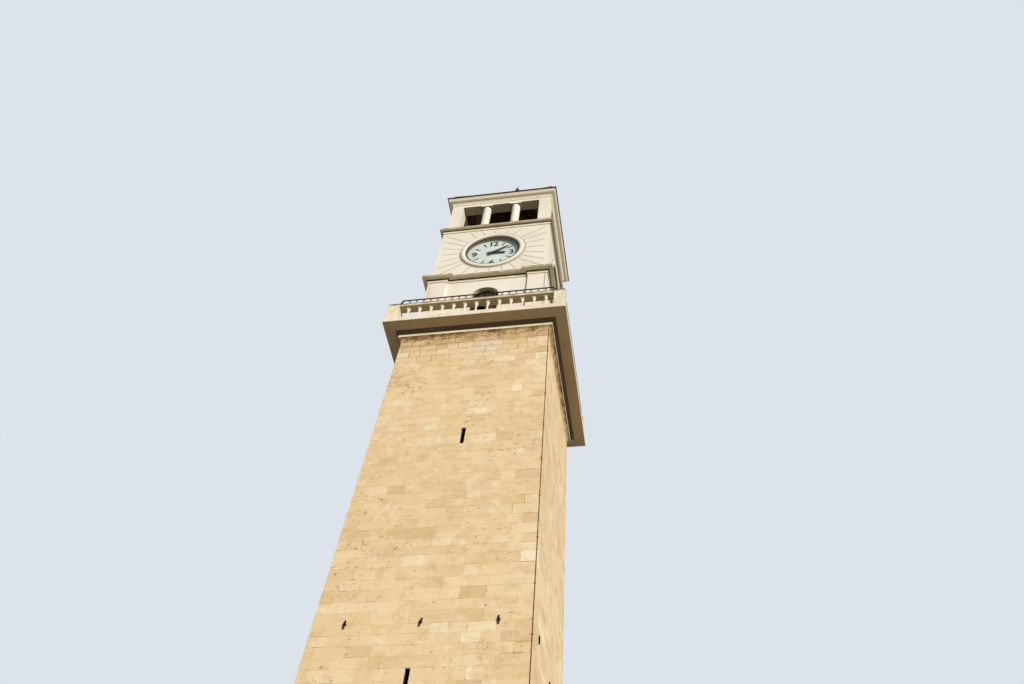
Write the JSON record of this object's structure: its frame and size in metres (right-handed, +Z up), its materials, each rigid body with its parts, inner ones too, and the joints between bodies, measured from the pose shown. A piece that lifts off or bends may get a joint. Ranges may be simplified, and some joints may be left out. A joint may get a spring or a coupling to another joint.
{
  "type": "clock tower",
  "caption": "Square stone clock tower with a balustraded balcony, arched doors, four dials, an open columned belfry and a steep pyramid roof.",
  "frame": {"origin": "on the ground, in the middle of the square base", "axes": "+Z up, -Y to the front where the entrance is, +X to the right of the front"},
  "size_m": [5.286, 5.286, 35.26],
  "materials": {
    "limestone": "weathered beige limestone ashlar",
    "lime_render": "cream lime render, stained",
    "wrought_iron": "dark painted wrought iron",
    "stained_wood": "reddish brown stained boards",
    "dial_enamel": "pale enamel",
    "hand_steel": "dark grey paint",
    "roof_timber": "bare aged timber",
    "roof_sheet": "dark red brown sheet",
    "finial_lead": "dark weathered metal"
  },
  "bodies": {
    "tower": {"shaft_front_wall": "limestone", "shaft_back_wall": "limestone", "shaft_right_wall": "limestone", "shaft_left_wall": "limestone", "shaft_crown": "limestone", "ground_floor": "limestone", "balcony_slab": "limestone", "corner_pedestals": "limestone", "balustrade_copings": "limestone", "front_balusters": "limestone", "right_balusters": "limestone", "back_balusters": "limestone", "left_balusters": "limestone", "front_door_wall": "lime_render", "right_door_wall": "lime_render", "back_door_wall": "lime_render", "left_door_wall": "lime_render", "corner_pilasters": "lime_render", "lower_cornice": "lime_render", "front_clock_wall": "lime_render", "right_clock_wall": "lime_render", "back_clock_wall": "lime_render", "left_clock_wall": "lime_render", "clock_rings": "lime_render", "sill_cornice": "lime_render", "belfry_piers": "lime_render", "belfry_columns": "lime_render", "belfry_lintel": "lime_render", "top_cornice": "lime_render", "tie_anchors": "wrought_iron", "front_railing": "wrought_iron", "right_railing": "wrought_iron", "back_railing": "wrought_iron", "left_railing": "wrought_iron", "entrance_frame": "stained_wood", "entrance_door": "stained_wood", "balcony_door_frames": "stained_wood", "balcony_doors": "stained_wood", "clock_dials": "dial_enamel", "dial_rims": "hand_steel", "clock_arbor": "hand_steel", "other_clock_hands": "hand_steel", "belfry_floor": "roof_timber", "roof_rafters": "roof_timber", "roof": "roof_sheet", "finial": "finial_lead"},
    "hour_hand": {"hour_hand": "hand_steel"},
    "minute_hand": {"minute_hand": "hand_steel"}
  },
  "joints": [
    {"name": "minute_hand_turn", "type": "hinge", "parent": "tower", "child": "minute_hand", "pos_m": [0, -1.807, 26.476], "axis": [0, 1, 0], "continuous": true},
    {"name": "hour_hand_turn", "type": "hinge", "parent": "tower", "child": "hour_hand", "pos_m": [0, -1.787, 26.476], "axis": [0, 1, 0], "continuous": true}
  ],
  "couplings": [
    {"joint": "hour_hand_turn", "follows": "minute_hand_turn", "ratio": 0.083333}
  ]
}
